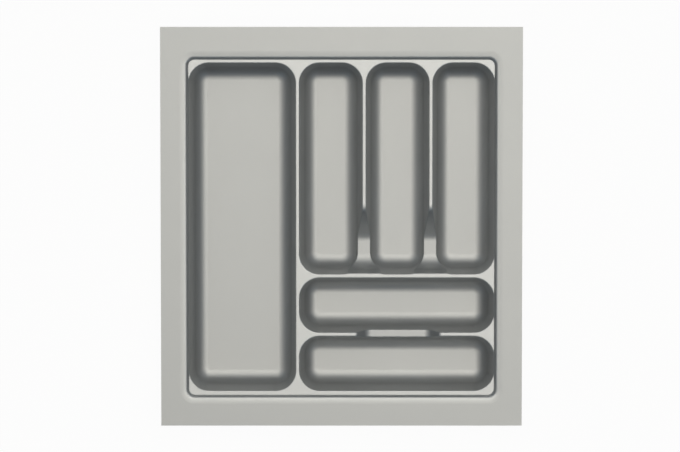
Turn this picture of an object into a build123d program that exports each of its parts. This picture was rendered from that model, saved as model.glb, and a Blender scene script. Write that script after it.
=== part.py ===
"""Drawer cutlery tray, thermoformed from one plastic sheet, in millimetres.

Each sub-part is one zone of the sheet: the border that rests on the drawer sides with the
step below it, and six compartments. Zones meet face to face on the middle of the dividers
and on the level of the ledge at the foot of the step. +X is right, +Y is the back of the
drawer and +Z is up. The origin is the centre of the footprint, under the compartment floors.
"""

import os
from math import atan, cos, degrees, radians, tan

from build123d import *

# Sheet and outline
sheet = 1.5
tray_width = 440.0
tray_depth = 486.0

# Border and the step inside it
side_border = 34.0
back_border = 39.8
front_border = 37.3
step_height = 5.5
step_corner_radius = 7.5
step_draft = 8.0
foot_rise = 0.8
foot_slope = 45.0
roll_width = 7.0
roll_drop = 1.0
roll_radius = 35.0
lip_radius = 4.0

# Ledge and dividers, between the flat walls at ledge level
side_ledge = 0.2
back_ledge = 4.0
front_ledge = 5.0
divider_width = 4.8

# Compartments
compartment_depth = 45.0
wall_draft = 9.5
corner_radius = 24.5
floor_radius = 16.0
rim_radius = 1.4
cutlery_width = 76.4
spoon_width = 74.6
cross_width = 66.6

# Finger saddles in the two dividers between the cutlery compartments, set back from their front walls
saddle_setback = 1.0
saddle_depth = 33.0
saddle_foot_length = 37.7
saddle_slope = 44.7
saddle_top_radius = 14.0
saddle_foot_radius = 16.0
saddle_wall_radius = 19.0

# Finger notch in the divider between the cross compartments, a little right of its middle
notch_depth = 14.0
notch_floor_length = 74.6
notch_slope = 46.0
notch_offset = 1.8
notch_top_radius = 6.0
notch_foot_radius = 12.0

# One overrun serves all cuts, and edges are picked within this share of the sheet from a level
overrun = 4.0
pick_share = 0.1

# Heights
ledge_z = sheet + compartment_depth
border_z = ledge_z + step_height

# The well inside the border, at ledge level
well_width = tray_width - 2 * side_border
well_length = tray_depth - back_border - front_border
well_y = (front_border - back_border) / 2
well_left = -well_width / 2
well_right = well_width / 2
well_back = well_y + well_length / 2
well_front = well_y - well_length / 2

# Columns and rows of the compartments, between the flat walls at ledge level
spoon_right = well_right - side_ledge
spoon_left = spoon_right - spoon_width
fork_right = spoon_left - divider_width
fork_left = fork_right - cutlery_width
knife_right = fork_left - divider_width
knife_left = knife_right - cutlery_width
utensil_right = knife_left - divider_width
utensil_left = well_left + side_ledge
back_line = well_back - back_ledge
front_line = well_front + front_ledge
front_back = front_line + cross_width
rear_front = front_back + divider_width
rear_back = rear_front + cross_width
cutlery_front = rear_back + divider_width

# Middles of the dividers, where zones meet
utensil_seam = utensil_right + divider_width / 2
knife_fork_seam = knife_right + divider_width / 2
fork_spoon_seam = fork_right + divider_width / 2
cutlery_seam = cutlery_front - divider_width / 2
cross_seam = rear_front - divider_width / 2

# What the draft and the sheet do to the walls
draft_run = compartment_depth * tan(radians(wall_draft))
wall_run = sheet / cos(radians(wall_draft))
step_run = sheet / cos(radians(step_draft))
foot_run = foot_rise * tan(radians(foot_slope))
floor_setback_share = tan(radians(90 - wall_draft) / 2)
corner_fill_share = 0.97
floor_round = min(floor_radius, corner_fill_share * (corner_radius - draft_run) / floor_setback_share)

# How far each half of a scoop reaches from the middle of its divider into its compartment
saddle_reach = divider_width / 2 + corner_radius + rim_radius
notch_reach = divider_width / 2 + notch_depth * tan(radians(wall_draft)) + rim_radius


def well_space(growth, drop):
    """The space inside the step: free space, or with the sheet added, its outer skin."""
    middle_rise = step_height - foot_rise - roll_drop - drop
    middle_run = middle_rise * tan(radians(step_draft))
    level = ledge_z
    with BuildPart() as space:
        for rise, run in ((foot_rise, foot_run), (middle_rise, middle_run), (roll_drop, roll_width)):
            with BuildSketch(Plane((0, well_y, level))):
                RectangleRounded(well_width + 2 * growth, well_length + 2 * growth,
                                 step_corner_radius + growth)
            extrude(amount=rise, taper=-degrees(atan(run / rise)))
            level += rise
            growth += run
    return space.part


def cup(left, right, front, back, growth, depth, bottom_radius):
    """A drafted compartment from ledge level down to its rounded floor."""
    centre = ((left + right) / 2, (front + back) / 2, ledge_z)
    with BuildPart() as body:
        with BuildSketch(Plane(centre, z_dir=(0, 0, -1))):
            RectangleRounded(right - left + 2 * growth, back - front + 2 * growth,
                             corner_radius + growth)
        extrude(amount=depth, taper=wall_draft)
        fillet(body.faces().sort_by(Axis.Z)[0].edges(), bottom_radius)
    return body.part


def free_space(left, right, front, back, scoops):
    """Free space of a compartment and its scoops, with rounded rims, kept inside the step's wall."""
    with BuildPart() as space:
        add(cup(left, right, front, back, 0, compartment_depth, floor_round))
        with BuildSketch(Plane(((left + right) / 2, (front + back) / 2, ledge_z))):
            RectangleRounded(right - left + 2 * overrun, back - front + 2 * overrun,
                             corner_radius + overrun)
        extrude(amount=step_height)
        add(scoops)
        scoop_rims = space.edges(Select.NEW) if scoops else []
        rims = space.edges().filter_by_position(Axis.Z, ledge_z, ledge_z) + scoop_rims
        fillet(rims.filter_by(lambda edge: edge.is_interior), rim_radius)
        add(step_column.part, mode=Mode.INTERSECT)
    return space.part


def scoop_outline(points, corners, growth, low_end):
    """A scoop seen from its side, or with growth its skin under the ledge, from a low end on."""
    with BuildSketch() as outline:
        with BuildLine():
            Polyline(*points, close=True)
        make_face()
        for corner, radius in corners:
            fillet(outline.vertices().sort_by_distance(corner)[0], radius)
        if growth:
            offset(amount=growth)
            with Locations((low_end, 0)):
                Rectangle(tray_depth, ledge_z, align=(Align.MIN, Align.MIN), mode=Mode.INTERSECT)
    return outline.sketch


def saddle_outline(growth):
    """Front wall, low floor and slope of a finger saddle, as (back, up)."""
    floor_z = ledge_z - saddle_depth
    wall_line = cutlery_front + saddle_setback
    wall_foot = (wall_line + saddle_depth * tan(radians(wall_draft)), floor_z)
    slope_foot = (cutlery_front + draft_run + saddle_foot_length, floor_z)
    slope_top = (slope_foot[0] + saddle_depth / tan(radians(saddle_slope)), ledge_z)
    wall_top = (wall_line, ledge_z)
    back_end = slope_top[0] + saddle_top_radius
    front_end = cutlery_front - overrun
    points = (wall_top, wall_foot, slope_foot, slope_top, (back_end, ledge_z),
              (back_end, border_z), (front_end, border_z), (front_end, ledge_z))
    corners = ((wall_foot, saddle_wall_radius), (slope_foot, saddle_foot_radius),
               (slope_top, saddle_top_radius))
    return scoop_outline(points, corners, growth, cutlery_seam)


def notch_outline(growth):
    """Floor and two slopes of the finger notch, as (right, up)."""
    centre_x = (knife_left + spoon_right) / 2 + notch_offset
    floor_z = ledge_z - notch_depth
    foot = notch_floor_length / 2
    top = foot + notch_depth / tan(radians(notch_slope))
    end = top + notch_top_radius
    left_foot = (centre_x - foot, floor_z)
    right_foot = (centre_x + foot, floor_z)
    left_top = (centre_x - top, ledge_z)
    right_top = (centre_x + top, ledge_z)
    points = (left_top, left_foot, right_foot, right_top, (centre_x + end, ledge_z),
              (centre_x + end, border_z), (centre_x - end, border_z), (centre_x - end, ledge_z))
    corners = ((left_foot, notch_foot_radius), (right_foot, notch_foot_radius),
               (left_top, notch_top_radius), (right_top, notch_top_radius))
    return scoop_outline(points, corners, growth, centre_x - end - sheet)


def saddle(seam, side, growth):
    """One half of a saddle: its free space past the seam, or its skin as far as the seam."""
    start = seam if growth else seam - side * overrun
    with BuildPart() as body:
        with BuildSketch(Plane.YZ.offset(start)):
            add(saddle_outline(growth))
        extrude(amount=side * saddle_reach + seam - start)
    return body.part


def notch(seam, side, growth):
    """One half of the notch: its free space past the seam, or its skin as far as the seam."""
    start = seam if growth else seam - side * overrun
    with BuildPart() as body:
        with BuildSketch(Plane.XZ.offset(-start)):
            add(notch_outline(growth))
        extrude(amount=start - seam - side * notch_reach)
    return body.part


# A column through the foot of the step, with open space under it, limits every rim
column_z = ledge_z - rim_radius
column_run = rim_radius * tan(radians(step_draft))
with BuildPart() as step_column:
    with BuildSketch(Plane((0, well_y, column_z))):
        RectangleRounded(well_width - 2 * column_run, well_length - 2 * column_run,
                         step_corner_radius - column_run)
    extrude(amount=rim_radius + step_height, taper=-step_draft)
    with BuildSketch(Plane((0, 0, column_z))):
        Rectangle(tray_width, tray_depth)
    extrude(amount=-column_z)

# Border with the step below it
with BuildPart() as trim_border:
    with BuildSketch(Plane.XY.offset(border_z - sheet)):
        Rectangle(tray_width, tray_depth)
    extrude(amount=sheet)
    add(well_space(step_run, sheet))
    add(well_space(0, 0), mode=Mode.SUBTRACT)
    window = trim_border.faces().sort_by(Axis.Z)[-1]
    fillet(window.inner_wires()[0].edges(), roll_radius)
    shoulder_z = border_z - roll_drop
    reach = pick_share * sheet
    shoulder = trim_border.edges().filter_by_position(Axis.Z, shoulder_z - reach, shoulder_z + reach)
    fillet(shoulder, lip_radius)
trim_border.part.label = "trim_border"


def compartment(name, walls, cell, saddles=(), notches=()):
    """One zone of the sheet: its share of the ledge, its cup and its half of each scoop."""
    left, right, front, back = walls
    cell_left, cell_right, cell_front, cell_back = cell
    with BuildPart() as zone:
        with BuildSketch(Plane((0, 0, ledge_z))):
            with Locations((0, well_y)):
                RectangleRounded(well_width + 2 * step_run, well_length + 2 * step_run,
                                 step_corner_radius + step_run)
            with Locations(((cell_left + cell_right) / 2, (cell_front + cell_back) / 2)):
                Rectangle(cell_right - cell_left, cell_back - cell_front, mode=Mode.INTERSECT)
        extrude(amount=-sheet)
        add(cup(left, right, front, back, wall_run, ledge_z, floor_round + sheet))
        add([saddle(seam, side, sheet) for seam, side in saddles])
        add([notch(seam, side, sheet) for seam, side in notches])
        scoops = [saddle(seam, side, 0) for seam, side in saddles]
        scoops += [notch(seam, side, 0) for seam, side in notches]
        add(free_space(left, right, front, back, scoops), mode=Mode.SUBTRACT)
    zone.part.label = name
    return zone.part


zones = (
    trim_border.part,
    compartment("utensil_compartment", (utensil_left, utensil_right, front_line, back_line),
                (-tray_width, utensil_seam, -tray_depth, tray_depth)),
    compartment("knife_compartment", (knife_left, knife_right, cutlery_front, back_line),
                (utensil_seam, knife_fork_seam, cutlery_seam, tray_depth),
                saddles=((knife_fork_seam, -1),)),
    compartment("fork_compartment", (fork_left, fork_right, cutlery_front, back_line),
                (knife_fork_seam, fork_spoon_seam, cutlery_seam, tray_depth),
                saddles=((knife_fork_seam, 1), (fork_spoon_seam, -1))),
    compartment("spoon_compartment", (spoon_left, spoon_right, cutlery_front, back_line),
                (fork_spoon_seam, tray_width, cutlery_seam, tray_depth),
                saddles=((fork_spoon_seam, 1),)),
    compartment("rear_cross_compartment", (knife_left, spoon_right, rear_front, rear_back),
                (utensil_seam, tray_width, cross_seam, cutlery_seam),
                notches=((cross_seam, 1),)),
    compartment("front_cross_compartment", (knife_left, spoon_right, front_line, front_back),
                (utensil_seam, tray_width, -tray_depth, cross_seam),
                notches=((cross_seam, -1),)),
)

os.makedirs("parts", exist_ok=True)
for zone in zones:
    print(zone.label, zone.is_valid, round(zone.volume, 1), len(zone.solids()), len(zone.faces()))
    export_step(zone, "parts/" + zone.label + ".step")
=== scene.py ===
from math import radians

import bpy
from mathutils import Matrix, Vector


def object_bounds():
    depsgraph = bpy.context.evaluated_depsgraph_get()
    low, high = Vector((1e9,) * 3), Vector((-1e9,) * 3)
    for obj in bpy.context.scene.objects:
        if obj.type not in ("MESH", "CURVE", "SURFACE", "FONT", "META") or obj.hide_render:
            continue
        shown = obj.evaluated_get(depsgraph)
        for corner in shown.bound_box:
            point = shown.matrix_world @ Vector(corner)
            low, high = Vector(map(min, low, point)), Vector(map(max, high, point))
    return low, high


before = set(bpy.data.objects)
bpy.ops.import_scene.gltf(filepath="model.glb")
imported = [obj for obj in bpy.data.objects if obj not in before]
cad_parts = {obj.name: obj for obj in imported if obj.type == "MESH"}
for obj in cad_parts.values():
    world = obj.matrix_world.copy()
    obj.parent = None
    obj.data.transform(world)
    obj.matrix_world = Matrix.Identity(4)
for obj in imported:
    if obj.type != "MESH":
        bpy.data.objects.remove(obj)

# The imported part's own box, which gives the tray's width and top
packed_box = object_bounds()

# The tray's outline in the photograph, in pixels, with its middle from the left and the top
image_width = 680
image_height = 452
outline_width = 361.7
outline_middle_x = 341.5
outline_middle_y = 227.0

# Camera, in metres and degrees, with its sensor in millimetres
camera_distance = 4.0
camera_tilt = 3.6
camera_reach = 50.0
sensor_width = 36.0

# Square lamps, all at one distance: name, size, lean to the back and to the right in degrees, power
# and colour
lamp_distance = 8.0
warm = (1.0, 0.965, 0.885)
cool = (0.64, 0.83, 1.0)
lamps = (
    ("top_lamp", 4.0, -3.0, 4.5, 121, warm),
    ("key_lamp", 3.0, 17.0, 3.0, 60, warm),
    ("back_lamp", 6.0, 33.0, 0.0, 108, warm),
    ("right_lamp", 6.0, 3.0, 28.0, 68, warm),
    ("left_lamp", 6.0, 3.0, -30.0, 48, warm),
    ("back_right_fill", 7.0, 38.0, 45.0, 32, cool),
    ("back_left_fill", 7.0, 38.0, -45.0, 32, cool),
    ("front_right_fill", 7.0, -38.0, 45.0, 40, cool),
    ("front_left_fill", 7.0, -38.0, -45.0, 40, cool),
)
world_colour = (0.75, 0.86, 1.0)
world_strength = 0.03

# Floor, in metres, and the share of it that shows as plain white
floor_size = 8.0
floor_gap = 0.0002
paper_white = 0.9
floor_glow = 0.95

# Tray plastic
plastic_colour = (0.488, 0.496, 0.498)
plastic_metal = 0.98
plastic_roughness = 0.52

# Its moulded grain and soft clouding, which vary the colour and the roughness. The grain also stands
# proud by the bump's height, in metres.
grain_scale = 900.0
grain_detail = 3.0
grain_share = 0.3
grain_roughness = 0.10
cloud_scale = 22.0
cloud_detail = 4.0
cloud_share = 0.7
cloud_roughness = 0.04
darkest_tone = 0.95
palest_tone = 1.05
bump_strength = 0.12
bump_height = 0.0003

# Painted highlight: the raised rims and divider tops, which lie between these two levels in metres, are
# painted paler than the floors and the border to stand in for the light they catch.
painted_highlight_gain = 1.22
painted_highlight_low = 0.0450
painted_highlight_high = 0.0520
painted_highlight_fade = 0.0008

tray_low, tray_high = packed_box
tray_width = tray_high[0] - tray_low[0]
tray_top = tray_high[2]


class Wire:
    """A number that runs between nodes, so that shader maths reads as plain maths."""

    def __init__(self, surface, socket):
        self.surface = surface
        self.socket = socket

    def maths(self, operation, first, second):
        node = self.surface.add("ShaderNodeMath", {"operation": operation}, {0: first, 1: second})
        return Wire(self.surface, node.outputs[0])

    def __add__(self, other):
        return self.maths("ADD", self, other)

    def __sub__(self, other):
        return self.maths("SUBTRACT", self, other)

    def __rsub__(self, other):
        return self.maths("SUBTRACT", other, self)

    def __mul__(self, other):
        return self.maths("MULTIPLY", self, other)

    __radd__ = __add__
    __rmul__ = __mul__


class Surface:
    """A material whose nodes are added by type, settings and socket values."""

    def __init__(self, name):
        self.material = bpy.data.materials.new(name)
        self.material.use_nodes = True
        self.tree = self.material.node_tree
        self.tree.nodes.clear()

    def add(self, kind, settings, values):
        node = self.tree.nodes.new(kind)
        for key, value in settings.items():
            setattr(node, key, value)
        for key, value in values.items():
            if isinstance(value, Wire):
                self.tree.links.new(value.socket, node.inputs[key])
            else:
                node.inputs[key].default_value = value
        return node

    def wire(self, node, output):
        return Wire(self, node.outputs[output])


def tray_plastic():
    """Silver-grey moulding plastic with a fine grain, a satin, slightly metallic gloss and a painted
    highlight along its raised rims and divider tops.
    """
    surface = Surface("silver_grey_plastic")
    place = surface.wire(surface.add("ShaderNodeTexCoord", {}, {}), "Object")
    grain = surface.wire(surface.add("ShaderNodeTexNoise", {}, {
        "Vector": place, "Scale": grain_scale, "Detail": grain_detail}), "Fac")
    cloud = surface.wire(surface.add("ShaderNodeTexNoise", {}, {
        "Vector": place, "Scale": cloud_scale, "Detail": cloud_detail}), "Fac")
    shade = surface.add(
        "ShaderNodeMix", {"data_type": "RGBA"},
        {"Factor": cloud * cloud_share + grain * grain_share,
         "A": (*[part * darkest_tone for part in plastic_colour], 1),
         "B": (*[part * palest_tone for part in plastic_colour], 1)})
    height = surface.wire(surface.add("ShaderNodeSeparateXYZ", {}, {"Vector": place}), "Z")
    smooth = {"interpolation_type": "SMOOTHSTEP"}
    # Painted highlight: between the two levels the colour is multiplied paler, standing in for light on
    # the rims and divider tops
    above = surface.wire(surface.add("ShaderNodeMapRange", smooth, {
        "Value": height, "From Min": painted_highlight_low, "From Max": painted_highlight_low + painted_highlight_fade}), "Result")
    below = surface.wire(surface.add("ShaderNodeMapRange", smooth, {
        "Value": height, "From Min": painted_highlight_high - painted_highlight_fade, "From Max": painted_highlight_high,
        "To Min": 1.0, "To Max": 0.0}), "Result")
    painted_highlight_colour = surface.add(
        "ShaderNodeMix", {"data_type": "RGBA", "blend_type": "MULTIPLY"},
        {"Factor": above * below, "A": surface.wire(shade, "Result"),
         "B": (painted_highlight_gain, painted_highlight_gain, painted_highlight_gain, 1)})
    bump = surface.add("ShaderNodeBump", {}, {
        "Strength": bump_strength, "Distance": bump_height, "Height": grain})
    roughness = plastic_roughness + (grain - 0.5) * grain_roughness + (cloud - 0.5) * cloud_roughness
    shader = surface.add(
        "ShaderNodeBsdfPrincipled", {},
        {"Base Color": surface.wire(painted_highlight_colour, "Result"), "Metallic": plastic_metal, "Roughness": roughness,
         "Normal": surface.wire(bump, "Normal")})
    surface.add("ShaderNodeOutputMaterial", {}, {"Surface": surface.wire(shader, "BSDF")})
    return surface.material


def white_floor():
    """A pale floor that the camera sees as white, with the tray's soft shadow on it."""
    surface = Surface("white_floor")
    paper = surface.add("ShaderNodeBsdfDiffuse", {}, {"Color": (paper_white, paper_white, paper_white, 1)})
    glow = surface.add("ShaderNodeEmission", {}, {"Color": (1, 1, 1, 1), "Strength": 1.0})
    ray = surface.add("ShaderNodeLightPath", {}, {})
    seen = (surface.wire(ray, "Is Camera Ray") + surface.wire(ray, "Is Glossy Ray")
            + surface.wire(ray, "Is Transmission Ray"))
    mix = surface.add("ShaderNodeMixShader", {}, {
        0: seen * floor_glow, 1: surface.wire(paper, "BSDF"), 2: surface.wire(glow, "Emission")})
    surface.add("ShaderNodeOutputMaterial", {}, {"Surface": surface.wire(mix, "Shader")})
    return surface.material


# Every zone of the sheet has the one plastic
plastic = tray_plastic()
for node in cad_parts.values():
    node.data.materials.clear()
    node.data.materials.append(plastic)

# Floor, a hair under the tray so that the two don't share a plane
bpy.ops.object.select_all(action="DESELECT")
bpy.ops.mesh.primitive_plane_add(size=floor_size, location=(0, 0, -floor_gap))
floor = bpy.context.object
floor.name = "floor"
floor.data.materials.append(white_floor())

# Lamps that face the tray
for name, size, lean_back, lean_right, power, colour in lamps:
    bpy.ops.object.light_add(type="AREA")
    lamp = bpy.context.object
    lamp.name = name
    lamp.data.size = size
    lamp.data.energy = power
    lamp.data.color = colour
    lamp.rotation_euler = (radians(-lean_back), radians(lean_right), 0)
    lamp.location = lamp.rotation_euler.to_matrix() @ Vector((0, 0, lamp_distance))

world = bpy.data.worlds.new("studio")
world.use_nodes = True
world.node_tree.nodes["Background"].inputs["Color"].default_value = (*world_colour, 1)
world.node_tree.nodes["Background"].inputs["Strength"].default_value = world_strength
bpy.context.scene.world = world

# Camera nearly straight above, leaning a little to the back of the tray
pixel = tray_width / outline_width
bpy.ops.object.camera_add()
camera = bpy.context.object
camera.data.sensor_width = sensor_width
camera.data.lens = sensor_width * (camera_distance - tray_top) / (image_width * pixel)
camera.data.clip_end = camera_reach
lean = Matrix.Rotation(radians(-camera_tilt), 4, "X")
target = Vector(((image_width / 2 - outline_middle_x) * pixel,
                 (outline_middle_y - image_height / 2) * pixel, tray_top))
camera.location = target + lean @ Vector((0, 0, camera_distance - tray_top))
camera.rotation_euler = lean.to_euler()
bpy.context.scene.camera = camera

bpy.context.scene.view_settings.view_transform = "Standard"
